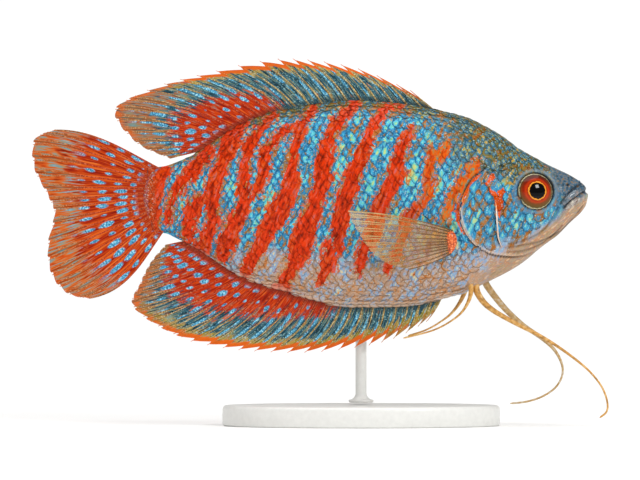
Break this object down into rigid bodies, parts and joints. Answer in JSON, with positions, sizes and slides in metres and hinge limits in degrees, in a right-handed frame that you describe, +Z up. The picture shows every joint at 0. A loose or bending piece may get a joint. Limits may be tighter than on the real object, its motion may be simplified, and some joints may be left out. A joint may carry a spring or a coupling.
{
  "type": "dwarf gourami",
  "caption": "Life-size still model of a male dwarf gourami, a small deep-bodied banded aquarium fish with long thread-like feelers, on a plain oval display stand.",
  "frame": {"origin": "middle of the underside of the whole model, on the floor it stands on", "axes": "+X the way the fish faces, +Y its left side, +Z up"},
  "size_m": [0.0831, 0.026, 0.0527],
  "materials": {
    "skin": "wet scaled skin, turquoise and blue with slanted orange-red bars",
    "eye": "clear domed cornea over a red-orange iris and a black pupil",
    "fin": "rayed membrane, teal and orange-red with pale blue spots",
    "clear_fin": "thin, nearly clear olive membrane with tawny rays",
    "feeler": "smooth golden-orange feeler",
    "stand": "plain pale grey satin stand"
  },
  "bodies": {
    "root": {"head": "skin", "lower_jaw": "skin", "gill_cover_left": "skin", "gill_cover_right": "skin", "trunk": "skin", "tail_stalk": "skin", "eye_left": "eye", "eye_right": "eye", "dorsal_fin": "fin", "anal_fin": "fin", "tail_fin": "fin", "pectoral_fin_left": "clear_fin", "pectoral_fin_right": "clear_fin", "feeler_left_1": "feeler", "feeler_left_2": "feeler", "feeler_left_3": "feeler", "feeler_right_1": "feeler", "feeler_right_2": "feeler", "feeler_right_3": "feeler", "short_ray_left": "feeler", "short_ray_right": "feeler", "stand_base": "stand", "stand_rod": "stand"}
  },
  "joints": []
}
